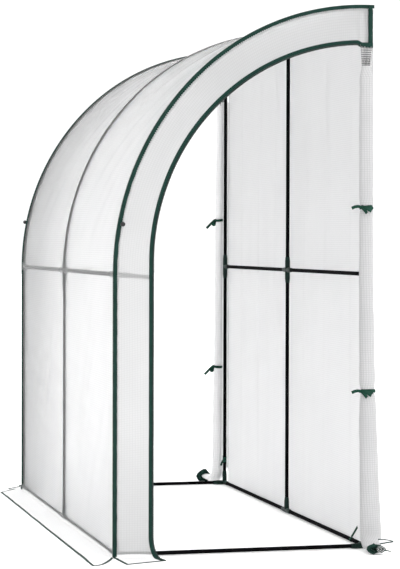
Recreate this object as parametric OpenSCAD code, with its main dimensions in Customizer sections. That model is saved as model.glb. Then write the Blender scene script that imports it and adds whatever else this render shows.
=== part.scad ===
// Lean-to tunnel greenhouse: three ribs of steel tube, joined by moulded connectors, under a sewn
// film cover with a rolled-up door at each end. The wall face is at X = 0, the ground at Z = 0 and
// the middle rib at Y = 0. The near end faces -Y and the curved side faces -X.

/* [Frame] */
// Depth of the frame, from the wall posts to the side posts
frame_w = 990; // [800:5:1300]
// Length of one bay, from rib to rib
bay_len = 1060; // [700:5:1500]
// Height of the mid rails above the ground
mid_h = 1068; // [900:2:1300]
// Rise of the arch from the mid rails to the top rail
arch_rise = 1028; // [850:2:1300]
// Distance from the wall face to the wall posts
wall_in = 26; // [20:1:60]

/* [Tubes and connectors] */
// Outside diameter of the steel tubes
tube_d = 16; // [12:0.5:25]
// Wall of the steel tubes
tube_wall = 0.8; // [0.5:0.1:2]
// Wall of the connector sleeves along the ribs
sleeve_wall = 2.9; // [2:0.1:5]
// Wall of the connector sleeves along the rails
rail_sleeve_wall = 2.4; // [1.5:0.1:4]
// Length of a sleeve, from the middle of its connector
arm_len = 57; // [40:1:80]
// Length of the taper at a sleeve's mouth
mouth_len = 16; // [6:1:24]
// Wall of a sleeve at its mouth
mouth_wall = 1; // [0.6:0.1:1.5]
// Step in, and length of the collar, at the start of a mouth's taper
mouth_step = 0.4; // [0.2:0.1:0.8]
// Thickness of the floor that a tube stands on in its socket
socket_floor = 1; // [0.5:0.1:3]
// Clearance round a tube in its sleeve
fit_gap = 0.1; // [0.05:0.05:0.3]
// Slope of the short stays that hold the end bands out
stay_droop = 5; // [0:1:10]

/* [Cover] */
// Thickness of the film
film_t = 1; // [0.4:0.1:2]
// Clearance between the film and what it lies on
seat_gap = 0.3; // [0.1:0.1:1]
// Width of the film bands at the two ends, outside the doorways
band_w = 127; // [90:1:220]
// Radius of the doorway's arch
door_r = 855; // [600:1:1000]
// Width of the zip tape round a doorway
zip_w = 17; // [10:1:30]
// Width of the edge binding on the end face
binding_w = 12; // [8:1:30]
// Width of the edge binding on the roof and side
binding_lap = 18; // [8:1:30]
// Width of the binding down an end band's edge at the wall
binding_end_w = 20; // [12:1:30]
// Thickness of bindings and tapes
tape_t = 1.2; // [0.6:0.1:2.5]

/* [Rolled doors] */
// Distance from the wall face to the middle of the near roll
near_roll_in = 38; // [36:1:60]
// Distance from the wall face to the middle of the far roll
far_roll_in = 48; // [36:1:60]
// Diameter of the near roll at its top
near_roll_d = 49; // [36:1:60]
// Diameter of the far roll at its top
far_roll_d = 40; // [34:1:60]
// Diameter of a roll at its foot
roll_foot_d = 66; // [60:1:72]
// Depth to which a tie pinches its roll
tie_pinch = 4; // [2:0.5:8]
// Width of a tie ribbon
tie_w = 12; // [8:1:20]
// Heights of the ties on the near roll
near_tie_z = [616, 1326]; // [300:2:1700]
// Heights of the ties on the far roll
far_tie_z = [578, 1295]; // [300:2:1700]
// Diameter of a bow's loops
bow_d = 22; // [16:1:34]
// Length of a bow's tails
bow_tail = 34; // [20:1:60]
// Slope of a bow's tails
bow_drop = 25; // [10:1:45]
// Width of a bow's knot
knot_w = 9; // [6:1:14]
// Thickness of a tie ribbon
bow_t = 1.4; // [0.8:0.1:2]
// Diameter of the door's foot, rolled up on the ground
scroll_d = 60; // [50:1:64]
// Reach of the door's foot out from the end of the frame
scroll_reach = 178; // [120:1:240]

/* [Ground flaps] */
// Width of the side flap, from the side posts outwards
flap_w = 125; // [80:1:200]
// Lead of the side flap's outer corner past the near end
flap_lead = 184; // [60:1:240]
// Set-back of the side flap's outer corner at the far end
flap_back = 32; // [0:1:60]
// Reach of a band's flap at the outer corner
band_flap_long = 181; // [100:1:240]
// Reach of a band's flap at the doorway
band_flap_short = 123; // [80:1:200]

/* [Arch knobs] */
// Height of the knobs on the end arches
knob_z = 1276; // [1150:2:1400]
// Diameter of a knob's head
knob_d = 15; // [10:1:22]
// Length of a knob
knob_len = 28; // [16:1:40]
// Diameter of a knob's neck
knob_neck_d = 9; // [6:1:14]
// Diameter of a knob's tip
knob_tip_d = 12; // [8:1:18]

/* [Hidden] */
$fn = 96;
tube_black = "#17181a";
connector_green = "#1c4a3c";
binding_green = "#1a4538";
film_white = "#eef0f2";

sleeve_d = tube_d + 2 * (fit_gap + sleeve_wall);
rail_sleeve_d = tube_d + 2 * (fit_gap + rail_sleeve_wall);
mouth_d = tube_d + 2 * (fit_gap + mouth_wall);
// Ball in the middle of a connector, just clear of its sleeves' outside
hub_d = sleeve_d + 2 * fit_gap;
// Ends of the tubes, measured from the middle of a connector
tube_stop = sleeve_d / 2 + socket_floor;

wall_x = -wall_in;
side_x = wall_x - frame_w;
base_z = hub_d / 2;
top_z = mid_h + arch_rise;
near_y = -bay_len;
far_y = bay_len;

// The rib's arch is two arcs of 45 degrees that meet in one tangent, upright at the side
// and level at the wall
arc_turn = 45;
arc_mean = (frame_w + arch_rise) / 2;
arc_split = (arch_rise - frame_w) / (2 * (2 * cos(arc_turn) - 1));
side_r = arc_mean + arc_split;
top_r = arc_mean - arc_split;
side_c = [side_x + side_r, mid_h];
top_c = [wall_x, top_z - top_r];

// Inner and outer faces of the film, measured from the tubes' centre lines
film_in = hub_d / 2 + seat_gap;
film_out = film_in + film_t;
cover_half = bay_len + film_in;

door_left = side_x + band_w;
door_top = top_z - band_w;
door_c = [door_left + door_r, door_top - door_r];

// The rolled door hangs in the plane of the end band, under the zip tape
door_face = bay_len + film_out;
roll_top_z = door_top - zip_w - seat_gap;
roll_lap = film_t - 2 * fit_gap;

function degrees_along(length, radius) = length / radius * 180 / PI;
function roll_r(top_d, z) = (roll_foot_d + (top_d - roll_foot_d) * z / roll_top_z) / 2;
function knob_x() = side_x + side_r - sqrt(pow(side_r, 2) - pow(knob_z - mid_h, 2));

// Directions in which a sleeve or a tube can point
to_up = [0, 0, 0];
to_down = [180, 0, 0];
to_wall = [0, 90, 0];
to_side = [0, -90, 0];
to_far = [-90, 0, 0];
to_near = [90, 0, 0];
to_door = [0, 90 + stay_droop, 0];

// What belongs to the far end is the near end's shape, mirrored
module at_end(far) {
    mirror([0, far ? 1 : 0, 0]) children();
}

// A flat piece with its outline in X and Z, from y0 towards +Y
module upright_plate(y0, thickness) {
    translate([0, y0 + thickness, 0]) rotate([90, 0, 0]) linear_extrude(thickness) children();
}

module tube_section() {
    difference() {
        circle(d = tube_d);
        circle(d = tube_d - 2 * tube_wall);
    }
}

// A straight tube between two connectors that are span apart
module tube(from, direction, span) {
    color(tube_black) translate(from) rotate(direction) translate([0, 0, tube_stop])
        linear_extrude(span - 2 * tube_stop) tube_section();
}

// The frame of one of the arch's two arcs, turned to a place along it
module on_arc(centre, y, angle) {
    translate([centre.x, y, centre.y]) rotate([90, 0, 0]) rotate([0, 0, angle]) children();
}

// A section swept round one of the arch's two arcs
module bend(centre, y, radius, from_angle, to_angle) {
    on_arc(centre, y, from_angle) rotate_extrude(angle = to_angle - from_angle)
        translate([radius, 0]) children();
}

module arch(y) {
    color(tube_black) {
        bend(side_c, y, side_r, 180 - arc_turn, 180 - degrees_along(tube_stop, side_r)) tube_section();
        bend(top_c, y, top_r, 90 + degrees_along(tube_stop, top_r), 180 - arc_turn) tube_section();
    }
}

module wall_post(y) {
    tube([wall_x, y, base_z], to_up, mid_h - base_z);
    tube([wall_x, y, mid_h], to_up, arch_rise);
}

module rail_pair(x, z) {
    tube([x, near_y, z], to_far, bay_len);
    tube([x, 0, z], to_far, bay_len);
}

// The tapered mouth of a sleeve, stepped in from its full diameter and down to a thin lip on the tube,
// with a root that reaches back into the sleeve
module mouth(diameter) {
    root_r = diameter / 2 - mouth_step;
    rotate_extrude() polygon([
        [0, -mouth_len / 2], [root_r, -mouth_len / 2], [root_r, mouth_step],
        [mouth_d / 2, mouth_len], [0, mouth_len]
    ]);
}

// A sleeve that reaches out from the middle of its connector, and the socket in it
module sleeve(direction, diameter) {
    straight = arm_len - mouth_len;
    rotate(direction) {
        cylinder(d = diameter, h = straight);
        translate([0, 0, straight]) mouth(diameter);
    }
}

module socket(direction) {
    rotate(direction) translate([0, 0, tube_stop]) cylinder(d = tube_d + 2 * fit_gap, h = arm_len);
}

// A moulded connector with straight sleeves along the rib and along the rails
module connector(at, rib_sleeves, rail_sleeves) {
    color(connector_green) translate(at) difference() {
        union() {
            sphere(d = hub_d);
            for (direction = rib_sleeves) sleeve(direction, sleeve_d);
            for (direction = rail_sleeves) sleeve(direction, rail_sleeve_d);
        }
        for (direction = rib_sleeves) socket(direction);
        for (direction = rail_sleeves) socket(direction);
    }
}

// The connectors that hold an end of an arch have one sleeve bent to the arch's curve
module bent_connector(at, rib_sleeve, rail_sleeves, centre, radius, from_angle, way) {
    bent = way * degrees_along(arm_len - mouth_len, radius);
    stop = way * degrees_along(tube_stop, radius);
    past_mouth = way * degrees_along(2 * arm_len, radius);
    difference() {
        union() {
            connector(at, [rib_sleeve], rail_sleeves);
            color(connector_green) {
                bend(centre, at.y, radius, from_angle, from_angle + bent) circle(d = sleeve_d);
                on_arc(centre, at.y, from_angle + bent) translate([radius, 0, 0])
                    rotate([-90 * way, 0, 0]) mouth(sleeve_d);
            }
        }
        bend(centre, at.y, radius, from_angle + stop, from_angle + past_mouth)
            circle(d = tube_d + 2 * fit_gap);
    }
}

module side_joint(y, rail_sleeves) {
    bent_connector([side_x, y, mid_h], to_down, rail_sleeves, side_c, side_r, 180, -1);
}

module top_joint(y, rail_sleeves) {
    bent_connector([wall_x, y, top_z], to_down, rail_sleeves, top_c, top_r, 90, 1);
}

// The end stay runs from its connector to the back of the zip tape
module end_stay() {
    color(tube_black) translate([side_x, near_y, mid_h]) rotate(to_door)
        translate([0, 0, tube_stop]) linear_extrude(band_w - tube_stop) tube_section();
}

module wedge(radius, from_angle) {
    reach = 2 * radius;
    intersection() {
        circle(r = radius);
        polygon([
            [0, 0],
            [reach * cos(from_angle), reach * sin(from_angle)],
            [reach * cos(from_angle + arc_turn), reach * sin(from_angle + arc_turn)]
        ]);
    }
}

// Everything under the rib's line, moved outwards by grow, from the ground and up to the wall face
module shed_outline(grow) {
    knee = side_c + (side_r + grow) * [-cos(arc_turn), sin(arc_turn)];
    intersection() {
        translate([side_x - grow, 0]) square([-side_x + grow, top_z + grow]);
        union() {
            translate([side_x - grow, 0]) square([-side_x + grow, mid_h]);
            polygon([
                [side_x - grow, mid_h], knee, [wall_x, top_z + grow], [0, top_z + grow], [0, mid_h]
            ]);
            translate(side_c) wedge(side_r + grow, 180 - arc_turn);
            translate(top_c) wedge(top_r + grow, 90);
        }
    }
}

// The doorway, open towards the wall, made smaller by inset
module door_outline(inset) {
    past_wall = band_w;
    translate([door_left + inset, -past_wall])
        square([past_wall - door_left, past_wall + door_c.y]);
    translate([door_c.x, -past_wall])
        square([past_wall - door_left, past_wall + door_top - inset]);
    translate(door_c) circle(r = door_r - inset);
}

// Film of the band round a doorway, with its foot on the flap
module end_band() {
    color(film_white) upright_plate(-door_face, film_t) difference() {
        shed_outline(film_out);
        door_outline(zip_w);
        translate([side_x - film_out, 0]) square([film_out - side_x, film_t]);
    }
}

// Binding sewn over the corner between the roof and an end band, and down the band's end at the wall
module edge_binding() {
    lap_in = film_out + seat_gap;
    color(binding_green) {
        upright_plate(-door_face - tape_t, tape_t) intersection() {
            difference() {
                shed_outline(lap_in + tape_t);
                difference() {
                    shed_outline(film_out - binding_w);
                    translate([-binding_end_w, door_top - zip_w])
                        square([binding_end_w, zip_w + band_w + film_out]);
                }
            }
            union() {
                translate([side_x - band_w, film_t]) square([frame_w + band_w, 2 * top_z]);
                translate([wall_x - band_w, door_top - zip_w]) square([wall_in + band_w, 2 * band_w]);
            }
        }
        upright_plate(-door_face, binding_lap) difference() {
            shed_outline(lap_in + tape_t);
            shed_outline(lap_in);
            translate([side_x - band_w, -band_w]) square([2 * frame_w, band_w + film_t]);
        }
    }
}

module door_zip() {
    color(binding_green) upright_plate(-door_face - tape_t, tape_t) intersection() {
        difference() {
            door_outline(0);
            door_outline(zip_w);
        }
        translate([side_x, film_t]) square([frame_w + wall_in - binding_end_w, top_z]);
    }
}

// Axis of a roll: its back lies in the door's plane from top to foot, sewn to the strip behind it
module on_roll(roll_in, top_d) {
    lean = atan((roll_foot_d - top_d) / (2 * roll_top_z));
    translate([-roll_in, roll_lap - door_face - roll_foot_d / 2, 0]) rotate([-lean, 0, 0]) children();
}

module door_roll(roll_in, top_d, tie_zs) {
    pinch_span = 3 * tie_w;
    color(film_white) {
        on_roll(roll_in, top_d) rotate_extrude() polygon(concat(
            [[0, 0], [roll_foot_d / 2, 0]],
            [for (z = tie_zs) each [
                [roll_r(top_d, z - pinch_span), z - pinch_span],
                [roll_r(top_d, z) - tie_pinch, z - tie_w / 2],
                [roll_r(top_d, z) - tie_pinch, z + tie_w / 2],
                [roll_r(top_d, z + pinch_span), z + pinch_span]
            ]],
            [[top_d / 2, roll_top_z - top_d / 4], [top_d / 4, roll_top_z], [0, roll_top_z]]
        ));
        translate([-roll_in, -door_face, 0]) cube([roll_in, film_t, roll_top_z]);
        translate([-roll_in, -door_face - roll_foot_d / 2, scroll_d / 2]) rotate(to_near)
            cylinder(d = scroll_d, h = scroll_reach - roll_foot_d / 2);
    }
}

// A ribbon round the pinched roll, tied in a bow on the doorway's side
module door_tie(roll_in, top_d, z) {
    inner = roll_r(top_d, z) - tie_pinch + seat_gap;
    outer = inner + bow_t;
    color(binding_green) on_roll(roll_in, top_d) translate([0, 0, z - tie_w / 2]) {
        rotate_extrude() translate([inner, 0]) square([bow_t, tie_w]);
        translate([-outer - knot_w + bow_t, -knot_w / 2, 0]) cube([knot_w, knot_w, tie_w]);
        for (side = [-1, 1])
            translate([-outer - bow_d / 2, side * (bow_d - bow_t) / 2, 0])
                linear_extrude(tie_w) difference() {
                    circle(d = bow_d);
                    circle(d = bow_d - 2 * bow_t);
                }
        translate([-outer - knot_w / 2, -bow_t / 2, tie_w / 2]) rotate([0, -bow_drop, 0])
            translate([-bow_tail, -bow_t, -tie_w / 2]) cube([bow_tail, bow_t, tie_w]);
    }
}

module door_ties(roll_in, top_d, tie_zs) {
    for (z = tie_zs) door_tie(roll_in, top_d, z);
}

module flap(outline) {
    color(film_white) linear_extrude(film_t) polygon(outline);
}

// The side flap's near edge is cut to a curve, from its outer corner round to the foot of the frame
module side_flap() {
    hem_x = side_x - flap_w;
    foot = [side_x - film_in, -cover_half];
    corner = [hem_x, near_y - flap_lead];
    pull = [hem_x + flap_w / 2, corner.y];
    steps = 8;
    flap(concat(
        [[foot.x, cover_half], [hem_x, bay_len - flap_back]],
        [for (i = [0 : steps]) let (t = i / steps)
            corner * pow(1 - t, 2) + pull * 2 * t * (1 - t) + foot * pow(t, 2)]
    ));
}

module band_flap() {
    flap([
        [side_x, -cover_half], [door_left + zip_w, -cover_half],
        [door_left + zip_w, near_y - band_flap_short], [side_x, near_y - band_flap_long]
    ]);
}

// A push-in knob, through the edge binding and the band's film into the arch
module arch_knob() {
    collar = knob_len / 4;
    color(tube_black) translate([knob_x(), -door_face - tape_t, knob_z]) rotate(to_near) {
        cylinder(d = knob_d, h = collar);
        cylinder(d = knob_neck_d, h = knob_len - collar);
        translate([0, 0, knob_len - collar]) cylinder(d = knob_tip_d, h = collar);
    }
}

module near_side_post() tube([side_x, near_y, base_z], to_up, mid_h - base_z);
module mid_side_post() tube([side_x, 0, base_z], to_up, mid_h - base_z);
module far_side_post() tube([side_x, far_y, base_z], to_up, mid_h - base_z);
module near_arch() arch(near_y);
module mid_arch() arch(0);
module far_arch() arch(far_y);
module near_wall_post() wall_post(near_y);
module mid_wall_post() wall_post(0);
module far_wall_post() wall_post(far_y);
module near_base_rail() tube([side_x, near_y, base_z], to_wall, frame_w);
module far_base_rail() tube([side_x, far_y, base_z], to_wall, frame_w);
module side_base_rails() rail_pair(side_x, base_z);
module wall_base_rails() rail_pair(wall_x, base_z);
module side_mid_rails() rail_pair(side_x, mid_h);
module wall_mid_rails() rail_pair(wall_x, mid_h);
module top_rails() rail_pair(wall_x, top_z);
module near_side_foot() connector([side_x, near_y, base_z], [to_up], [to_wall, to_far]);
module mid_side_foot() connector([side_x, 0, base_z], [to_up], [to_near, to_far]);
module far_side_foot() connector([side_x, far_y, base_z], [to_up], [to_wall, to_near]);
module near_wall_foot() connector([wall_x, near_y, base_z], [to_up], [to_side, to_far]);
module mid_wall_foot() connector([wall_x, 0, base_z], [to_up], [to_near, to_far]);
module far_wall_foot() connector([wall_x, far_y, base_z], [to_up], [to_side, to_near]);
module near_side_joint() side_joint(near_y, [to_far, to_door]);
module mid_side_joint() side_joint(0, [to_near, to_far]);
module far_side_joint() side_joint(far_y, [to_near, to_door]);
module near_wall_joint() connector([wall_x, near_y, mid_h], [to_up, to_down], [to_far]);
module mid_wall_joint() connector([wall_x, 0, mid_h], [to_up, to_down], [to_near, to_far]);
module far_wall_joint() connector([wall_x, far_y, mid_h], [to_up, to_down], [to_near]);
module near_top_joint() top_joint(near_y, [to_far]);
module mid_top_joint() top_joint(0, [to_near, to_far]);
module far_top_joint() top_joint(far_y, [to_near]);
module end_stays() for (far = [false, true]) at_end(far) end_stay();

module side_cover() {
    color(film_white) translate([side_x - film_out, -cover_half, film_t])
        cube([film_t, 2 * cover_half, mid_h - film_t]);
}

module roof_cover() {
    color(film_white) upright_plate(-cover_half, 2 * cover_half) difference() {
        shed_outline(film_out);
        shed_outline(film_in);
        translate([side_x - film_out, 0]) square([film_out - side_x, mid_h]);
    }
}

module wall_cover() {
    color(film_white) translate([-film_t, -cover_half, 0])
        cube([film_t, 2 * cover_half, top_z + film_in]);
}

module near_end_band() end_band();
module far_end_band() at_end(true) end_band();
module near_edge_binding() edge_binding();
module far_edge_binding() at_end(true) edge_binding();
module near_door_zip() door_zip();
module far_door_zip() at_end(true) door_zip();
module near_door_roll() door_roll(near_roll_in, near_roll_d, near_tie_z);
module far_door_roll() at_end(true) door_roll(far_roll_in, far_roll_d, far_tie_z);
module near_door_ties() door_ties(near_roll_in, near_roll_d, near_tie_z);
module far_door_ties() at_end(true) door_ties(far_roll_in, far_roll_d, far_tie_z);

module ground_flaps() {
    side_flap();
    for (far = [false, true]) at_end(far) band_flap();
}

module arch_knobs() for (far = [false, true]) at_end(far) arch_knob();

near_side_post();
mid_side_post();
far_side_post();
near_arch();
mid_arch();
far_arch();
near_wall_post();
mid_wall_post();
far_wall_post();
near_base_rail();
far_base_rail();
side_base_rails();
wall_base_rails();
side_mid_rails();
wall_mid_rails();
top_rails();
near_side_foot();
mid_side_foot();
far_side_foot();
near_wall_foot();
mid_wall_foot();
far_wall_foot();
near_side_joint();
mid_side_joint();
far_side_joint();
near_wall_joint();
mid_wall_joint();
far_wall_joint();
near_top_joint();
mid_top_joint();
far_top_joint();
end_stays();
side_cover();
roof_cover();
wall_cover();
near_end_band();
far_end_band();
near_edge_binding();
far_edge_binding();
near_door_zip();
far_door_zip();
near_door_roll();
far_door_roll();
near_door_ties();
far_door_ties();
ground_flaps();
arch_knobs();
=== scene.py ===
import math
import bpy
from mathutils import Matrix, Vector, noise


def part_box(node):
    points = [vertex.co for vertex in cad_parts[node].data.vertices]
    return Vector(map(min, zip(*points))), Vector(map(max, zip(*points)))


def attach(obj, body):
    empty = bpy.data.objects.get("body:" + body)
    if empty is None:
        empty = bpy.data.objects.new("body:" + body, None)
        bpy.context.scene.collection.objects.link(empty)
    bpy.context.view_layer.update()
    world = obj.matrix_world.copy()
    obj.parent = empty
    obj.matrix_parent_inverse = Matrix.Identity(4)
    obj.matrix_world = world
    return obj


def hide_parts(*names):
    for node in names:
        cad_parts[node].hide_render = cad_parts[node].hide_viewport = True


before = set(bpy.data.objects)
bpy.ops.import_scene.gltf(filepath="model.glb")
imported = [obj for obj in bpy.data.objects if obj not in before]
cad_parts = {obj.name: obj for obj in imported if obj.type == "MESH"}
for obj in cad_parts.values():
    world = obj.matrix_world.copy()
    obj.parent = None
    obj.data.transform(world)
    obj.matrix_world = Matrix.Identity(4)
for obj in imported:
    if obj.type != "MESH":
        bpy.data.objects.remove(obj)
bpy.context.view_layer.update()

scene = bpy.context.scene

# The camera stands where the photographer stood: well back on a long lens, at chest height, to the
# left of the near doorway. It has no shift and no depth of field.
camera = bpy.data.objects.new("camera", bpy.data.cameras.new("camera"))
camera.location = (-2.595, -8.564, 1.203)
camera.rotation_euler = [math.radians(turn) for turn in (88.715, -0.148, -14.236)]
camera.data.lens = 128.9
scene.collection.objects.link(camera)
scene.camera = camera
scene.view_settings.view_transform = "Standard"

# Posts, arches, rails and stays are thin steel tube, cut and bent, then powder coated black.
# The coat is satin, with the fine orange peel of baked powder and paler scuffs from handling.


def new_finish(name):
    """A new material with its node tree and its main shader."""
    finish = bpy.data.materials.new(name)
    finish.use_nodes = True
    return finish, finish.node_tree, finish.node_tree.nodes["Principled BSDF"]


def feed(node, inputs):
    """Gives a shader node its links, colours and other input values."""
    for key, value in inputs.items():
        if isinstance(value, bpy.types.NodeSocket):
            node.id_data.links.new(value, node.inputs[key])
        elif isinstance(value, tuple):
            node.inputs[key].default_value = (*value, 1)
        else:
            node.inputs[key].default_value = value


def place(tree, kind, inputs=None, **settings):
    """Adds a shader node, with its settings first and then its input values or links."""
    made = tree.nodes.new("ShaderNode" + kind)
    for key, value in settings.items():
        setattr(made, key, value)
    feed(made, inputs or {})
    return made


def blend_of(tree, share, first, second):
    """Colour that goes from first to second as share goes from 0 to 1."""
    return place(tree, "Mix", {0: share, 6: first, 7: second}, data_type="RGBA").outputs[2]


def between(tree, value, low, high, start=0.0, end=1.0):
    """Value spread from start and end to low and high."""
    return place(tree, "MapRange", {0: value, 1: start, 2: end, 3: low, 4: high}).outputs[0]


def raised(tree, height, strength, depth):
    """Normal of a surface that a pattern raises."""
    return place(tree, "Bump", {"Height": height, "Strength": strength, "Distance": depth}).outputs[0]


def new_group(name, inputs, outputs):
    """A node group with named sockets, and its input and output nodes."""
    group = bpy.data.node_groups.new(name, "ShaderNodeTree")
    for socket, kind in inputs.items():
        group.interface.new_socket(name=socket, in_out="INPUT", socket_type="NodeSocket" + kind)
    for socket in outputs:
        group.interface.new_socket(name=socket, in_out="OUTPUT", socket_type="NodeSocketFloat")
    return group, group.nodes.new("NodeGroupInput"), group.nodes.new("NodeGroupOutput")


handling, given, result = new_group(
    "handling_marks", {"Patches per metre": "Float", "Grain per metre": "Float"}, ("Patches", "Grain"))
where = place(handling, "TexCoord").outputs["Object"]
patches = place(handling, "TexNoise", {"Vector": where, "Scale": given.outputs[0], "Detail": 5.0,
                                       "Roughness": 0.62})
grain = place(handling, "TexNoise", {"Vector": where, "Scale": given.outputs[1], "Detail": 2.0})
feed(result, {"Patches": between(handling, patches.outputs[0], 0, 1, 0.38, 0.72),
              "Grain": grain.outputs[0]})


def handled_finish(name, dark, light, rough, patches, grain=0, relief=None, rough_by="Patches",
                   also=None):
    """A hard finish in two shades, patchy from handling, with a fine relief where one is given."""
    finish, tree, shader = new_finish(name)
    marks = place(tree, "Group", {"Patches per metre": patches, "Grain per metre": grain},
                  node_tree=handling)
    feed(shader, {"Base Color": blend_of(tree, marks.outputs["Patches"], dark, light),
                  "Roughness": between(tree, marks.outputs[rough_by], *rough)})
    if relief:
        feed(shader, {"Normal": raised(tree, marks.outputs["Grain"], *relief)})
    feed(shader, also or {})
    return finish


def coat(names, finish):
    """Gives CAD nodes a finish."""
    for name in names:
        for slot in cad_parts[name].material_slots:
            slot.material = finish


RIBS = ("near", "mid", "far")
powder_coat = handled_finish(
    "black_powder_coat", (0.0012, 0.0012, 0.0015), (0.0042, 0.0043, 0.0048),
    rough=(0.7, 0.88), patches=14, grain=900, relief=(0.25, 0.0004), also={"Specular IOR Level": 0.02})
coat([rib + part for rib in RIBS for part in ("_side_post", "_arch", "_wall_post")], powder_coat)
coat(("near_base_rail", "far_base_rail", "side_base_rails", "wall_base_rails", "side_mid_rails",
      "wall_mid_rails", "top_rails", "end_stays"), powder_coat)

# Feet, joints and top elbows are moulded in dark green plastic, in one shot with their sockets.
# The skin is fine and even, a little shiny on the round of the sleeves.
moulded_green = handled_finish(
    "moulded_green", (0.0022, 0.013, 0.0095), (0.0042, 0.022, 0.0165),
    rough=(0.4, 0.55), patches=30, grain=2200, relief=(0.2, 0.0003), also={"Specular IOR Level": 0.18})
coat([rib + part for rib in RIBS
      for part in ("_side_foot", "_wall_foot", "_side_joint", "_wall_joint", "_top_joint")],
     moulded_green)

# The side and roof are one sheet of white film, woven from tape and coated on both faces. It is
# pulled over the ribs, bulges over the joints and sinks a little between one rib and the next.


def middle(node):
    """Middle of a CAD node's box."""
    low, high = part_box(node)
    return (low + high) / 2


side_x, mid_z = middle("side_mid_rails").x, middle("side_mid_rails").z
wall_x, top_z = middle("top_rails").x, middle("top_rails").z
end_y, foot_z = middle("far_arch").y, middle("near_base_rail").z
HUG, RISE = 0.0083, 0.0031
SEAM = HUG + RISE
EDGE = SEAM + 0.0009
EIGHTH = math.pi / 4
half_sum = (wall_x - side_x + top_z - mid_z) / 2
half_split = (top_z - mid_z - wall_x + side_x) / (2 * (math.sqrt(2) - 1))
side_r, top_r = half_sum + half_split, half_sum - half_split
rib_len = mid_z + (side_r + top_r) * EIGHTH


def rib_point(run):
    """X and Z of a rib's centre line at a run from the ground, and the way out from it."""
    if run <= mid_z:
        return side_x, run, -1.0, 0.0
    run -= mid_z
    if run <= side_r * EIGHTH:
        turn = run / side_r
        return (side_x + side_r * (1 - math.cos(turn)), mid_z + side_r * math.sin(turn),
                -math.cos(turn), math.sin(turn))
    run -= side_r * EIGHTH
    if run <= top_r * EIGHTH:
        turn = EIGHTH + run / top_r
        return (wall_x - top_r * math.cos(turn), top_z - top_r * (1 - math.sin(turn)),
                -math.cos(turn), math.sin(turn))
    return wall_x + run - top_r * EIGHTH, top_z, 0.0, 1.0


def fade(distance, near, far):
    """One up to near, nothing from far on, and smooth in between."""
    share = min(1.0, max(0.0, (far - distance) / (far - near)))
    return share * share * (3 - 2 * share)


JOINTS = [Vector((x, y, z)) for x, z in ((side_x, foot_z), (side_x, mid_z), (wall_x, top_z))
          for y in (-end_y, 0.0, end_y)]
SLEEVE_END, KNUCKLE_END = (0.064, 0.11), (0.014, 0.03)
SUNK, GRIP = 0.0026, math.radians(62)


def gripping(beside, over):
    """Height of film pulled tight over a round bar: it follows the bar, then sinks beside it."""
    if beside < over * math.sin(GRIP):
        return math.sqrt(over * over - beside * beside)
    drop = over * math.cos(GRIP) - SUNK
    return SUNK + drop * math.exp((over * math.sin(GRIP) - beside) * math.tan(GRIP) / drop)


def film_stand(x, y, z):
    """How far the film stands off the frame's centre lines, gripping tubes, sleeves and end seams."""
    to_joint = min((Vector((x, y, z)) - joint).length for joint in JOINTS)
    beside = min(abs(y), math.hypot(x - side_x, z - mid_z), math.hypot(x - wall_x, z - top_z),
                 max(0.0, z - foot_z))
    return max(gripping(beside, HUG + RISE * fade(to_joint, *SLEEVE_END)),
               gripping(max(0.0, end_y - abs(y)), SEAM), SEAM * fade(to_joint, *KNUCKLE_END))


TUBE_REACH = 0.0145
TUBE_STOPS = (0.0009, 0.0027, 0.0044, 0.006, 0.0073, 0.0083, 0.0097, 0.0118)


def stops(start, end, step, tubes=()):
    """Places from start to end, about a step apart and closer together over a tube."""
    count = round((end - start) / step)
    places = [start + (end - start) * i / count for i in range(count + 1)]
    for tube in tubes:
        places = [p for p in places if abs(p - tube) > TUBE_REACH or p in (start, end)]
        places += [tube + side * off for off in TUBE_STOPS for side in (-1, 1)
                   if start < tube + side * off < end]
    return sorted(places)


def new_piece(name, points, faces, finish, lie=None):
    """A mesh that rides on the frame. With a flat lie in metres, as its UV map, it is also smooth."""
    mesh = bpy.data.meshes.new(name)
    mesh.from_pydata(points, [], faces)
    if lie:
        mesh.uv_layers.new(name="lie").data.foreach_set("uv", [c for corner in lie for c in corner])
        mesh.polygons.foreach_set("use_smooth", [True] * len(mesh.polygons))
    mesh.materials.append(finish)
    piece = bpy.data.objects.new(name, mesh)
    scene.collection.objects.link(piece)
    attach(piece, "root")
    return piece


def cloth_piece(name, rows, finish):
    """A sheet from rows of points, each with its place on the flat sheet."""
    wide = len(rows[0])
    faces = [(i * wide + j, i * wide + j + 1, (i + 1) * wide + j + 1, (i + 1) * wide + j)
             for i in range(len(rows) - 1) for j in range(wide - 1)]
    lie = [flat for row in rows for point, flat in row]
    piece = new_piece(name, [point for row in rows for point, flat in row], faces, finish,
                      [lie[corner] for face in faces for corner in face])
    return piece


def sheet_rows(ups, alongs, at):
    """Rows of a sheet, from a function that gives a point and its place on the flat sheet."""
    return [[at(up, along) for along in alongs] for up in ups]


def points_of(rows):
    """Rows of points alone."""
    return [[point for point, flat in row] for row in rows]


FILM_THICK = 0.00025


def film_gauge(piece):
    """Gives a sheet the film's own thickness."""
    gauge = piece.modifiers.new("film_gauge", "SOLIDIFY")
    gauge.thickness, gauge.offset = FILM_THICK, 0.0


def maths(tree, operation, first, second):
    """Result of a sum on two values in a shader."""
    return place(tree, "Math", {0: first, 1: second}, operation=operation).outputs[0]


THREAD_PITCH, THREAD_EDGES = (0.0105, 0.0085), (0.03, 0.14)
film_mesh, given, result = new_group("film_mesh", {"Lie": "Vector"}, ("Threads",))
lie = place(film_mesh, "SeparateXYZ", {0: given.outputs["Lie"]})
threads = []
for axis, pitch in enumerate(THREAD_PITCH):
    cells = maths(film_mesh, "MULTIPLY", lie.outputs[axis], 1 / pitch)
    threads.append(between(film_mesh, maths(film_mesh, "PINGPONG", cells, 0.5), 1, 0, *THREAD_EDGES))
feed(result, {"Threads": maths(film_mesh, "MAXIMUM", *threads)})


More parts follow.
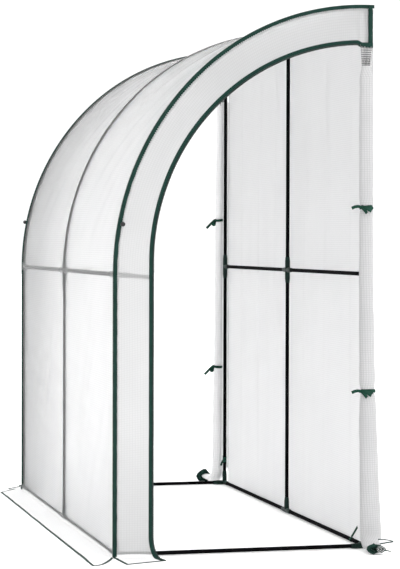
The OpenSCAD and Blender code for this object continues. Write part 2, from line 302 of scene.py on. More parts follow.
def film_finish(name, clear, cloudy, thread, lets_through):
    """Woven film, hazy like tracing paper: what lies against it shows through, the rest is blurred."""
    finish, tree, shader = new_finish(name)
    lie = place(tree, "UVMap", uv_map="lie").outputs[0]
    threads = place(tree, "Group", {"Lie": lie}, node_tree=film_mesh).outputs["Threads"]
    marks = place(tree, "Group", {"Patches per metre": 4}, node_tree=handling)
    tone = blend_of(tree, marks.outputs["Patches"], clear, cloudy)
    feed(shader, {"Base Color": blend_of(tree, threads, tone, thread),
                  "Roughness": between(tree, threads, 0.72, 0.88),
                  "Normal": raised(tree, threads, 0.12, 0.0003),
                  "Transmission Weight": lets_through, "IOR": 1.1, "Specular IOR Level": 0.1})
    return finish


woven_film = film_finish("woven_film", (0.82, 0.821, 0.823), (0.79, 0.791, 0.793),
                         (0.7, 0.701, 0.703), 0.89)
# A whiter copy of the film for the flaps on the ground, the cover's foot and the loose folds: its
# paler base is painted light, lifting them out of the shade they lie in.
flap_film_painted_light = film_finish("flap_film_painted_light", (0.96, 0.96, 0.96), (0.94, 0.94, 0.942),
                        (0.9, 0.9, 0.902), 0.15)
LAID, FOOT_TURN, FOOT_ROWS, FOOT_TAKE_UP = 0.0013, 0.010, 8, 0.57
SHARPER, SHARP_REACH = 0.85, 0.08
FILM_STEP, ROOF_SHORT = 0.0155, 0.0006
SIDE_SINK, ROOF_SINK = 0.003, 0.010
BROAD, SLANTED, FINE = 0.0042, 0.0026, 0.0014
film_runs = stops(LAID + FOOT_TURN, rib_len - wall_x - ROOF_SHORT, FILM_STEP,
                  (foot_z, mid_z, rib_len))


def foot_turn(y):
    """Radius at which the film turns out from the frame's foot: sharp at the two ends."""
    return FOOT_TURN * (1 - SHARPER * fade(end_y - abs(y), 0, SHARP_REACH))


def film_foot(y):
    """X of the film's face just above its foot."""
    return side_x - film_stand(side_x, y, film_runs[0])


def foot_point(turn, y):
    """The cover where it turns out on the ground: its point at a turn and a length along."""
    return ((film_foot(y) - foot_turn(y) * (1 - math.sin(turn)), y,
             LAID + foot_turn(y) * (1 - math.cos(turn))),
            (y, film_runs[0] - FOOT_TURN * (math.pi / 2 - turn)))


def film_point(run, y):
    """The cover above its foot: its point at a run up the rib and a length along."""
    x, z, out_x, out_z = rib_point(run)
    if run < mid_z:
        held = math.sin(math.pi * max(0.0, run - foot_z) / (mid_z - foot_z))
        sink = SIDE_SINK
    else:
        held = math.sin(math.pi * min(1.0, (run - mid_z) / (rib_len - mid_z)))
        sink = ROOF_SINK
    slack = max(0.0, held) * abs(math.sin(math.pi * min(end_y, abs(y)) / end_y))
    ripple = (BROAD * noise.noise((y * 2.6, run * 2.1, 3.1))
              + SLANTED * noise.noise((y * 9 + run * 6, run * 2.4 - y, 7.7))
              + FINE * noise.noise((y * 5, run * 16, 1.3)))
    away = film_stand(x, y, z) + slack * (ripple - sink)
    return (x + out_x * away, y, z + out_z * away), (y, run)


lengths = stops(-end_y - EDGE, end_y + EDGE, FILM_STEP, (-end_y, 0.0, end_y))[::-1]
rows = sheet_rows([math.pi / 2 * k / FOOT_ROWS for k in range(FOOT_ROWS)], lengths, foot_point)
rows += sheet_rows(film_runs, lengths, film_point)
cover = cloth_piece("side_and_roof_film", rows, woven_film)
# The cover's foot, where it turns out on the ground, takes the whiter flap film: painted light.
cover.data.materials.append(flap_film_painted_light)
for face in cover.data.polygons:
    face.material_index = 1 if face.center.z < LAID + FOOT_TURN else 0
film_gauge(cover)
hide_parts("side_cover", "roof_cover")

# The wall side is a flat sheet of the same film, sewn to the roof along the top rail and left to
# hang free behind the wall posts. It keeps the long soft creases of its packing.
WALL_BACK, WALL_WAVE, WALL_FOOT = -0.0052, 0.0046, 0.002
CREASES, CREASE_W, CREASE_DEEP = (-0.83, -0.49, -0.2, 0.24, 0.52, 0.81), 0.028, 0.55
UP_STEP, ALONG_STEP = 0.02, 0.0135
# The wall film is a darker copy of the side and roof film: its darker base is painted shade, holding
# back the light that comes through it from outside.
wall_painted_shade_film = film_finish("wall_film", (0.68, 0.681, 0.684), (0.65, 0.651, 0.654),
                         (0.58, 0.581, 0.584), 0.87)
wall_top = top_z + HUG


def wall_point(z, y):
    """Point of the wall film, which is free to wave between its top and its foot."""
    free = math.sin(math.pi * min(1.0, z / wall_top)) ** 0.5
    crease = sum(math.exp(-((y - at) / CREASE_W) ** 2) for at in CREASES)
    wave = (0.9 * noise.noise((y * 3.4, z * 0.7, 5.5)) + 0.5 * noise.noise((y * 11, z * 1.8, 2.2))
            + 0.4 * noise.noise((y * 3 + z * 9, z * 4, 9.1)) - CREASE_DEEP * crease)
    return (WALL_BACK + WALL_WAVE * free * max(-1.0, min(1.0, wave)), y, z), (y, z)


rows = sheet_rows(stops(WALL_FOOT, wall_top, UP_STEP),
                  stops(-end_y - EDGE, end_y + EDGE, ALONG_STEP)[::-1], wall_point)
wall_film = cloth_piece("wall_film", rows, wall_painted_shade_film)
film_gauge(wall_film)
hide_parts("wall_cover")

# Each end has a band of film round its doorway. It is sewn to the roof along the end arch, puckered
# by that seam, and at its foot it runs out on the ground as a flap.
zip_low, zip_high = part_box("near_door_zip")
door_left, door_top = zip_low.x, zip_high.z
DOOR_R, INSET, BAND_END = 0.855, 0.0115, -0.008
door_mid = (door_left + DOOR_R, door_top - DOOR_R)
ZIP_STEP, ZIP_STEP_AT = 0.009, (-0.073, -0.053)
TURN_UP, ON_GROUND = 0.2, 0.0012
FLAP_OUT, FLAP_IN, FLAP_LEFT, FLAP_SPAN = 0.171, 0.116, -1.013, 0.158
FLAP_ROWS, UP_ROWS, FLAP_LIFT = 24, 22, 0.011
TIGHT_BEND, SLACK_BEND = 0.006, 0.07
BAND_STEPS = (360, 640, 12)
FLAP_CRUMPLE, CRUMPLE_FROM = 0.0045, 0.05
PUCKER_PITCH, PUCKER, PUCKER_AT, PUCKER_REACH = 0.0094, 0.0016, 0.008, (0.003, 0.022)
SWAY, QUIVER, BAND_FOLD, SETTLED = 0.005, 0.003, 0.0024, 0.12
GATHER, GATHER_X, GATHER_REACH = 0.004, -0.045, (0.012, 0.03)
ACROSS = (0, 0.03, 0.052, 0.072, 0.092, 0.115, 0.145, 0.185, 0.24, 0.33, 0.46, 0.62, 0.78, 0.9, 1)


def zip_drop(x):
    """How far the doorway's edge steps down close to the wall, where its zip starts."""
    return ZIP_STEP * (1 - fade(x, *ZIP_STEP_AT))


def band_edges(part, share):
    """Outer and inner edge of the band, and the run along the rib, at a share of one of its parts."""
    if part == 0:
        low = TURN_UP + share * (mid_z - TURN_UP)
        inner_z = TURN_UP + share * (door_mid[1] - TURN_UP)
        return (side_x - EDGE, low), (door_left + INSET, inner_z), low
    if part == 1:
        turn = share * 2 * EIGHTH
        run = mid_z + side_r * min(turn, EIGHTH) + top_r * max(0.0, turn - EIGHTH)
        x, z, out_x, out_z = rib_point(run)
        door_x = door_mid[0] - (DOOR_R - INSET) * math.cos(turn)
        door_z = door_mid[1] + (DOOR_R - INSET) * math.sin(turn)
        return (x + out_x * EDGE, z + out_z * EDGE), (door_x, door_z - zip_drop(door_x)), run
    door_x = door_mid[0] + share * (BAND_END - door_mid[0])
    past = share * (BAND_END - wall_x)
    return ((wall_x + past, top_z + EDGE), (door_x, door_top - INSET - zip_drop(door_x)),
            rib_len + past)


def flap_point(out, seed, step, across):
    """Point of a band's foot at a step up from its hem on the ground, before the band stands."""
    reach = FLAP_OUT + (FLAP_IN - FLAP_OUT) * across
    bend = TIGHT_BEND + SLACK_BEND * across ** 2
    ground, curve = reach - bend, bend * math.pi / 2
    total = ground + curve + TURN_UP - bend
    if bend > FLAP_LIFT:
        lift = ground + bend * math.acos(1 - FLAP_LIFT / bend)
    else:
        lift = ground + (curve + FLAP_LIFT - bend)
    if step < FLAP_ROWS:
        gone = lift * step / FLAP_ROWS
    else:
        gone = lift + (total - lift) * (step - FLAP_ROWS) / UP_ROWS
    if gone < ground:
        away, z = reach - gone, ON_GROUND
    elif gone < ground + curve:
        turn = (gone - ground) / bend
        away, z = bend * (1 - math.sin(turn)), ON_GROUND + bend * (1 - math.cos(turn))
    else:
        away, z = 0.0, ON_GROUND + bend + gone - ground - curve
    edge_x = side_x - EDGE + across * (door_left + INSET - side_x + EDGE)
    x = edge_x + (FLAP_LEFT + across * FLAP_SPAN - edge_x) * away / reach
    crumple = max(0.0, noise.noise((x * 14, away * 17, seed)))
    z += FLAP_CRUMPLE * crumple * (1 - fade(away, 0, CRUMPLE_FROM))
    return (x, out * (end_y + SEAM + away), z), (x, gone - total + TURN_UP)


def band_point(out, seed, part, share, across):
    """Point of a standing band at a share of one of its parts and a share of its width."""
    outer, inner, run = band_edges(part, share)
    width = math.hypot(inner[0] - outer[0], inner[1] - outer[1])
    x = outer[0] + (inner[0] - outer[0]) * across
    z = outer[1] + (inner[1] - outer[1]) * across
    from_tube = across * width - EDGE
    pucker = 0.5 + 0.5 * math.sin(run / PUCKER_PITCH * 2 * math.pi
                                  + 2.2 * noise.noise((run * 9, seed, 0)))
    pucker *= (fade(abs(from_tube - PUCKER_AT), *PUCKER_REACH)
               * (0.35 + abs(noise.noise((run * 4, 0, seed)))))
    sway = across * across * (SWAY * noise.noise((run * 3.2, across, seed))
                              + QUIVER * noise.noise((run * 9, across * 2, seed + 4)))
    fold = (fade(abs(across - 0.5), 0.1, 0.5) * BAND_FOLD
            * noise.noise((run * 6, across * 5, seed + 8)))
    settle, crumple = 0.0, 0.0
    if part == 0:
        settle = fade(abs(z - TURN_UP), 0, SETTLED)
    else:
        crumple = GATHER * fade(abs(x - GATHER_X), *GATHER_REACH) * fade(abs(across - 0.5), 0.2, 0.4)
        crumple *= 0.5 + noise.noise((x * 60, z * 95, seed + 12))
    away = SEAM + PUCKER * pucker + max(0.0, (1 - settle) * (sway + fold)) + max(0.0, crumple)
    return (x, out * (end_y + away), z), (across * width, run)


# The bands take a darker copy of the film that lets less through: the darker base is painted shade on
# the bands.
band_painted_shade_film = film_finish("band_film", (0.7, 0.701, 0.703), (0.67, 0.671, 0.673),
                         (0.61, 0.611, 0.613), 0.6)
band_grids = {}
for end, out, seed in (("near", -1, 2.0), ("far", 1, 6.0)):
    rows = sheet_rows(range(FLAP_ROWS + UP_ROWS), ACROSS,
                      lambda step, across: flap_point(out, seed, step, across))
    rows += sheet_rows([(part, step / count) for part, count in enumerate(BAND_STEPS)
                        for step in range(min(part, 1), count + 1)], ACROSS,
                       lambda up, across: band_point(out, seed, *up, across))
    band_grids[end] = points_of(rows)
    band = cloth_piece(end + "_band_film", rows, band_painted_shade_film)
    film_gauge(band)
    band.data.materials.append(flap_film_painted_light)
    for face in band.data.polygons:
        face.material_index = 1 if face.index < FLAP_ROWS * (len(ACROSS) - 1) else 0
    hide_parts(end + "_end_band", "ground_flaps")

# The side flap is the film's lower edge, left to lie on the ground outside the frame so that soil
# or stones can weigh it down. Its near corner is cut to a curve and lifts a little.
FLAP_W, FLAP_LEAD, FLAP_PAST, FLAP_BACK = 0.125, 0.184, 0.083, 0.0675
OVER_STEPS, ALONG_STEPS = 16, 170
FLAP_WAVE, LIE_UP, NEAR_LOOSE, FAR_LOOSE = 0.010, 0.3, 0.7, 0.9
hem_x = side_x - FLAP_W


def shares(count):
    """Shares from 0 to 1 in a count of steps."""
    return [k / count for k in range(count + 1)]


def side_flap_point(over, along):
    """Point of the side flap at a share of its width and of its length."""
    near_curve = ((-end_y - EDGE) * (1 - over) ** 2
                  + (-end_y - FLAP_LEAD) * (1 - (1 - over) ** 2))
    far_edge = (end_y + FLAP_PAST) * (1 - over) + (end_y - FLAP_BACK) * over
    y = near_curve + (far_edge - near_curve) * along
    foot_x = film_foot(y) - foot_turn(y)
    x = foot_x + (hem_x - foot_x) * over
    loose = over * (LIE_UP + NEAR_LOOSE * fade(abs(y + end_y + 0.1), 0.05, 0.3)
                    + FAR_LOOSE * fade(abs(y - end_y), 0.03, 0.16))
    z = LAID + FLAP_WAVE * loose * max(0.0, noise.noise((x * 9, y * 3.6, 4.4)) + 0.12)
    return (x, y, z), (y, -over * FLAP_W)


rows = sheet_rows(shares(OVER_STEPS), shares(ALONG_STEPS), side_flap_point)
side_rows = points_of(rows)
side_flap = cloth_piece("side_flap_film", rows, flap_film_painted_light)
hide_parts("ground_flaps")

# Behind the far corner a last fold of the flap sticks out past the frame, a small three-cornered
# piece of the same film that lies loose on the ground.
FOLD = [Vector((side_x - 0.002, end_y + 0.02, 0.0016)), Vector((-1.089, 1.1007, 0.004)),
        Vector((-0.999, 1.214, 0.0022))]
FOLD_ROWS, FOLD_WIDE = 6, 8
fold_rows = [[FOLD[0].lerp(FOLD[1].lerp(FOLD[2], j / FOLD_WIDE), i / FOLD_ROWS)
              for j in range(FOLD_WIDE + 1)] for i in range(1, FOLD_ROWS + 1)]
corner_fold = cloth_piece("far_corner_fold", [[(p, p.xy) for p in row] for row in fold_rows],
                          flap_film_painted_light)
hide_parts("ground_flaps")

# Every raw edge of the film is bound in dark green woven tape, folded over the edge and sewn
# through. The wide tape closes the corner between roof and end, the narrow one hems the flaps.
weave_group, given, result = new_group(
    "tape_weave", {"Lie": "Vector", "Ribs per metre": "Float"}, ("Ribs", "Threads"))
lie = place(weave_group, "SeparateXYZ", {0: given.outputs["Lie"]})
ribs = [maths(weave_group, "PINGPONG",
              maths(weave_group, "MULTIPLY", lie.outputs[axis], given.outputs["Ribs per metre"]), 1.0)
        for axis in (0, 1)]
feed(result, {"Ribs": ribs[0], "Threads": maths(weave_group, "MULTIPLY", *ribs)})


def tape_finish(name, dark, light, ribs_per_metre):
    """Woven tape in two shades, with its ribs raised and a painted highlight where its threads cross.
    """
    finish, tree, shader = new_finish(name)
    lie = place(tree, "UVMap", uv_map="lie").outputs[0]
    weave = place(tree, "Group", {"Lie": lie, "Ribs per metre": ribs_per_metre}, node_tree=weave_group)
    marks = place(tree, "Group", {"Patches per metre": 26}, node_tree=handling)
    worn = blend_of(tree, marks.outputs["Patches"], dark, light)
    # Where the threads cross, the colour is made paler: a painted highlight on the tops of the weave.
    lit = tuple(shade * 1.7 for shade in light)
    painted_highlight_share = between(tree, weave.outputs["Threads"], 0, 0.45)
    feed(shader, {"Base Color": blend_of(tree, painted_highlight_share, worn, lit),
                  "Roughness": between(tree, weave.outputs["Ribs"], 0.6, 0.85),
                  "Normal": raised(tree, weave.outputs["Ribs"], 0.6, 0.0004),
                  "Specular IOR Level": 0.2})
    return finish


def strip(name, path, section, finish):
    """A closed strip along a path of (point, across, outward), from a section of (across, outward)."""
    ring = len(section)
    girth = [0.0]
    for (a, b), (c, d) in zip(section, section[1:] + section[:1]):
        girth.append(girth[-1] + math.hypot(c - a, d - b))
    points, gone = [], []
    for i, (point, across, outward) in enumerate(path):
        points += [point + across * a + outward * b for a, b in section]
        gone.append(gone[-1] + (point - path[i - 1][0]).length if i else 0.0)
    faces, lie = [], []
    for i in range(len(path) - 1):
        for j in range(ring):
            after = (j + 1) % ring
            faces.append((i * ring + j, i * ring + after, (i + 1) * ring + after, (i + 1) * ring + j))
            lie += [(gone[i], girth[j]), (gone[i], girth[j + 1]),
                    (gone[i + 1], girth[j + 1]), (gone[i + 1], girth[j])]
    for i in (0, len(path) - 1):
        faces.append(tuple(range(i * ring, (i + 1) * ring)))
        lie += [(gone[i], reach) for reach in girth[:-1]]
    return new_piece(name, points, faces, finish, lie)


def tape_strip(name, path, section, finish):
    """A strip of tape."""
    piece = strip(name, path, section, finish)
    return piece


def fold_over(width, thick, past=0.0012):
    """Section of a tape folded over an edge: width in from the edge, past it, and back."""
    half = thick / 2
    return [(width, half), (width * 0.5, half * 1.25), (0.0, half), (-past * 0.7, half * 0.7),
            (-past, 0.0), (-past * 0.7, -half * 0.7), (0.0, -half), (width * 0.5, -half * 1.25),
            (width, -half)]


def faces_out(up):
    """Whether a way up from a flap or band is its outward side."""
    return up.z > 0 or abs(up.y) > 0.7


def edge_path(edge, inside, is_out=faces_out):
    """Path of a hem: points of an edge, the way into the sheet and the sheet's outward side."""
    path = []
    for i, point in enumerate(edge):
        point = Vector(point)
        along = Vector(edge[min(i + 1, len(edge) - 1)]) - Vector(edge[max(i - 1, 0)])
        along.normalize()
        into = Vector(inside[i]) - point
        into = (into - along * into.dot(along)).normalized()
        up = along.cross(into)
        path.append((point, into, up if is_out(up) else -up))
    return path


binding_tape = tape_finish("binding_tape", (0.0034, 0.021, 0.0155), (0.006, 0.034, 0.025), 620)
hem_tape = tape_finish("hem_tape", (0.012, 0.030, 0.024), (0.02, 0.043, 0.036), 700)
thread_finish = tape_finish("sewing_thread", (0.010, 0.045, 0.034), (0.02, 0.07, 0.055), 1500)
ENDS = (("near", -1), ("far", 1))
LAP_FACE, LAP_ROOF = 0.0138, 0.0205
TAPE_FOOT, TAPE_SHORT, TAPE_STEPS = 0.003, 0.004, 620
BITE, ARCH_BITE, UNEVEN, ARCH_FROM = 0.0008, 0.0014, 0.0012, 0.7
TAPE_SECTION = [
    (-LAP_FACE, 0.0004), (-LAP_FACE * 0.5, 0.0008), (-0.002, 0.0007), (-0.0006, 0.0005),
    (0.0003, -0.0002), (0.0006, -0.002), (0.0006, -LAP_ROOF * 0.6), (-0.0002, -LAP_ROOF * 0.82),
    (-0.0031, -LAP_ROOF), (-0.0037, -LAP_ROOF), (-0.0008, -LAP_ROOF * 0.82),
    (-0.0003, -LAP_ROOF * 0.6), (-0.0003, -0.002), (-0.0008, -0.0008), (-0.002, -0.0003),
    (-LAP_FACE, -0.0003), (-LAP_FACE, 0.0004)]
WALL_END_STEPS, WALL_END_PAST, WALL_END_OFF = 40, 0.02, 0.0028
FACE_SEAM, ROOF_SEAM = -LAP_FACE * 0.72, -LAP_ROOF * 0.7
STITCH_LONG, STITCH_THICK, STITCH_OFF = 0.0016, 0.0004, 0.0009
STITCH_FACES = ((0, 1, 2), (0, 2, 3), (4, 2, 1), (4, 3, 2), (0, 3, 1), (4, 1, 3))
END_HEM, SIDE_HEM, FOLD_HEM = (0.0095, 0.0018), (0.0075, 0.0016), (0.009, 0.0018)
WALL_END_HEM = (0.0175, 0.0018)
for end, out in ENDS:
    path, rows = [], []
    for i in range(TAPE_STEPS + 1):
        run = TAPE_FOOT + (rib_len - wall_x - TAPE_SHORT) * i / TAPE_STEPS
        x, z, out_x, out_z = rib_point(run)
        point = Vector((x, out * end_y, z)) + Vector((out_x, out, out_z)) * EDGE
        across, outward = Vector((out_x, 0, out_z)), Vector((0, out, 0))
        path.append((point, across, outward))
        drawn_up = 1 - fade(run - mid_z, 0, ARCH_FROM)
        bite = (BITE + ARCH_BITE * drawn_up) * math.sin(
            run / PUCKER_PITCH * 2 * math.pi + 2 * noise.noise((run * 9, out, 3)))
        bite += UNEVEN * noise.noise((run * 30, out, 0))
        rows.append([(point + across * (a + (bite if a == -LAP_FACE else 0)) + outward * b,
                      (run, a - b)) for a, b in TAPE_SECTION])
    binding = cloth_piece(end + "_edge_tape", rows, binding_tape)
    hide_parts(end + "_edge_binding")
    wall_end = []
    for i in range(WALL_END_STEPS + 1):
        off = WALL_END_OFF + 0.0006 * math.sin(i)
        z = top_z + EDGE - i / WALL_END_STEPS * (top_z + EDGE - door_top + WALL_END_PAST)
        wall_end.append((Vector((BAND_END - 0.0006, out * (end_y + SEAM + off), z)),
                         Vector((-1, 0, 0)), Vector((0, out, 0))))
    tape_strip(end + "_wall_end_tape", wall_end, fold_over(*WALL_END_HEM), binding_tape)
    points, faces = [], []
    for i in range(2, len(path) - 2):
        point, across, outward = path[i]
        along = (path[i + 1][0] - path[i - 1][0]).normalized() * STITCH_LONG
        for row, side, base in ((FACE_SEAM, across, outward), (ROOF_SEAM, outward, across)):
            centre = point + side * row + base * STITCH_OFF
            first = len(points)
            points += [centre - along, centre + side * STITCH_THICK, centre + base * STITCH_THICK,
                       centre - side * STITCH_THICK, centre + along]
            faces += [(first + a, first + b, first + c) for a, b, c in STITCH_FACES]
    stitches = new_piece(end + "_edge_stitches", points, faces, thread_finish)
    stitches.data.uv_layers.new(name="lie")
    grid = band_grids[end]
    edge = [row[0] for row in reversed(grid[:FLAP_ROWS])] + grid[0][1:]
    inside = [row[1] for row in reversed(grid[:FLAP_ROWS])] + grid[1][1:]
    tape_strip(end + "_flap_hem", edge_path(edge, inside), fold_over(*END_HEM), hem_tape)
edge = ([row[0] for row in side_rows] + side_rows[-1][1:]
        + [row[-1] for row in reversed(side_rows[:-1])])
inside = ([row[1] for row in side_rows] + side_rows[-2][1:]
          + [row[-2] for row in reversed(side_rows[:-1])])
tape_strip("side_flap_hem", edge_path(edge, inside), fold_over(*SIDE_HEM), hem_tape)
tape_strip("far_fold_hem", edge_path(fold_rows[-1], fold_rows[-2]), fold_over(*FOLD_HEM), hem_tape)

# Half of a zip is sewn round each doorway: a green tape on the band's edge, with a thick row of
# moulded teeth along the opening. At the foot it follows the band out on the ground.
HEAD_TOP = door_top - 0.0065
HEAD_LEFT, HEAD_W, HEAD_STEPS, HEAD_OFF = -0.057, 0.05, 12, 0.0028
ZIP_SECTION = [(0.0142, 0.0003), (0.0142, 0.0016), (0.0125, 0.0022), (0.0105, 0.0016),
               (0.002, 0.0014), (-0.0038, 0.0013), (-0.0038, 0.0003)]
HEAD_SECTION = [(0.0, 0.0), (0.0, 0.0016), (0.01, 0.0023), (0.02, 0.0016), (0.02, 0.0)]
TOOTH = ((0.0018, 0.0, 0.0032), (-0.0025, -0.0004, 0.0036), (-0.0052, 0.0002, 0.0027))
TOOTH_HALF, TOOTH_TOP = 0.17, 0.8
zip_tape = tape_finish("zip_tape", (0.0036, 0.023, 0.017), (0.0062, 0.036, 0.027), 540)
zip_teeth = handled_finish(
    "zip_teeth", (0.0025, 0.014, 0.010), (0.005, 0.024, 0.018),
    rough=(0.3, 0.5), patches=60, grain=1500, rough_by="Grain")
for end, out in ENDS:
    grid = band_grids[end][0::2]
    path = edge_path([row[-1] for row in grid], [row[-3] for row in grid],
                     lambda up: up.dot(Vector((0, out, 0.3))) > 0)
    tape = tape_strip(end + "_zip_tape", path, ZIP_SECTION, zip_tape)
    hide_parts(end + "_door_zip")
    points, faces = [], []
    for (point, into, outward), (after, *_) in zip(path, path[1:]):
        span = after - point
        along = span.normalized() * (span.length * TOOTH_HALF)
        for centre in (point + span * share for share in (0.25, 0.75)):
            first = len(points)
            for a, low, high in TOOTH:
                points += [centre + into * a + along * s + outward * h
                           for s, h in ((-1, low), (1, low), (TOOTH_TOP, high), (-TOOTH_TOP, high))]
            for base in (first, first + 4):
                faces += [(base + a, base + (a + 1) % 4, base + 4 + (a + 1) % 4, base + 4 + a)
                          for a in range(4)]
            faces += [(first + 3, first + 2, first + 1, first), tuple(range(first + 8, first + 12))]
    teeth = new_piece(end + "_zip_teeth", points, faces, zip_teeth)
    head = []
    for i in range(HEAD_STEPS + 1):
        x = HEAD_LEFT + HEAD_W * i / HEAD_STEPS
        off = HEAD_OFF + 0.0014 * math.sin(i / 4)
        head.append((Vector((x, out * (end_y + SEAM + off), HEAD_TOP)),
                     Vector((0, 0, -0.8 - 0.2 * fade(-x, 0.02, 0.05))), Vector((0, out, 0))))
    tape_strip(end + "_zip_head", head, HEAD_SECTION, zip_tape)

# Each door is a sheet of the film, unzipped, rolled up round its free edge and tied to the wall post.
# The roll slackens towards its foot, which turns out on the ground and shows its bound hem end on.
DOOR_W, ROLL_TOP = 0.86, door_top - 0.098
TURNS, LOOSE_TURNS, CORE, AROUND, FIRST_TURN = 8.2, 3.1, 0.2, 22, -1.1
TIES = {"near": (0.616, 1.326), "far": (0.578, 1.295)}
BEND, LEVEL, LYING = 0.05, 0.0225, 0.083
QUARTER = BEND * math.pi / 2
ROLL_TALL = ROLL_TOP - LEVEL - BEND
ROLL_LEN = ROLL_TALL + QUARTER + LYING
TALL_ROWS, SCROLL_ROWS, EARLY = 115, 36, 0.02
ROLL_SIDES = {"near": ((-0.067, 0.001, 0, 1), (-0.016, 0.005, 0.038, 2.6)),
              "far": ((-0.064, 0, -0.018, 1.6), (-0.0235, 0.001, 0, 1))}
ROLL_HALF_Y, ROLL_SLACKER, ROLL_OFF = 0.0195, 0.006, 0.003
TOP_PINCH, TOP_REACH, TIE_PINCH, TIE_REACH = 0.25, 0.05, 0.16, 0.024
FOOT_X, FOOT_HALF_X, FOOT_HALF_Y = {"near": -0.0385, "far": -0.067}, 0.038, 0.0158
FOOT_SETTLED, DROPPED_CORE = 0.14, 0.14
SEWN, SEWN_STEP = 3, 0.01
DOOR_HEM = {"near": (0.009, 0.0026), "far": (0.036, 0.0014)}
HEM_LOW = 0.0011
SCROLL_SECTION = [(0.0008, 0.0), (0.0012, 0.0012), (0.0034, 0.0014), (0.0042, 0.0)]
NECK, NECK_ROWS, NECK_WIDE, NECK_LIE = 0.115, 30, 28, 0.16
NECK_LEFT, NECK_W, NECK_IN, NECK_NARROW, NECK_UNDER = -0.058, 0.05, 0.008, 0.014, 0.008
NECK_OFF, NECK_ROUND, NECK_FOLD = 0.004, 0.012, 0.0032
# The near roll takes a darker copy of the film and the far roll a whiter one: painted shade on the
# near roll, painted light on the far one.
ROLL_FILM_SHADED_AND_LIT = {
    "near": film_finish("near_roll_film_painted_shade", (0.6, 0.6, 0.604), (0.54, 0.54, 0.545),
                        (0.46, 0.46, 0.465), 0.15),
    "far": film_finish("far_roll_film_painted_light", (0.97, 0.97, 0.974), (0.93, 0.93, 0.935),
                       (0.86, 0.86, 0.865), 0.1)}
# The gathered neck under the zip head is near black between pale threads: painted shade of its
# stacked, folded layers.
neck_film_painted_shade = film_finish("neck_film_painted_shade", (0.10, 0.10, 0.102), (0.42, 0.42, 0.424),
                            (0.82, 0.82, 0.822), 0.1)


def roll_place(end, drop):
    """Axis point, across and outward directions and half sizes of a roll, at a drop from its top."""
    out = -1 if end == "near" else 1
    low = min(1.0, drop / ROLL_TALL)
    left, right = [top + even * low + late * low ** power
                   for top, even, late, power in ROLL_SIDES[end]]
    half_x, half_y = (right - left) / 2, ROLL_HALF_Y + ROLL_SLACKER * low
    axis_x, plane = (left + right) / 2, end_y + SEAM + ROLL_OFF
    across = Vector((1, 0, 0))
    if drop <= ROLL_TALL:
        pinch = 1 - TOP_PINCH * fade(drop, 0, TOP_REACH)
        for tie in TIES[end]:
            pinch -= TIE_PINCH * math.exp(-((ROLL_TOP - drop - tie) / TIE_REACH) ** 2)
        at = Vector((axis_x, out * (plane + half_y), ROLL_TOP - drop))
        return at, across, Vector((0, out, 0)), half_x * pinch, half_y * pinch
    past = drop - ROLL_TALL
    turn = min(1.0, past / QUARTER) * math.pi / 2
    at = Vector((axis_x, out * (plane + half_y + BEND * (1 - math.cos(turn))),
                 LEVEL + BEND * (1 - math.sin(turn))))
    at.y += out * max(0.0, past - QUARTER)
    settle = 1 - fade(past, 0, FOOT_SETTLED)
    half_x += (FOOT_HALF_X - half_x) * settle
    half_y += (FOOT_HALF_Y - half_y) * settle
    at.x += (FOOT_X[end] - axis_x) * settle
    return at, across, Vector((0, out * math.cos(turn), math.sin(turn))), half_x, half_y


def neck_point(out, seed, share, along):
    """Point of a door's gathered neck at a share of its drop and of its width."""
    x = NECK_LEFT + NECK_IN * share * (1 - along) + (NECK_W - NECK_NARROW * share) * along
    fold = NECK_FOLD * (0.3 + share) * (
        math.sin(along * 24 + 3 * noise.noise((along * 3, share * 2, seed)))
        + 1.2 * noise.noise((along * 5, share * 9, seed)))
    off = NECK_OFF + NECK_ROUND * share * math.sin(math.pi * along) + max(-0.003, fold)
    return ((x, out * (end_y + SEAM + off), HEAD_TOP - NECK_UNDER - NECK * share),
            (along * NECK_LIE, -NECK * share))


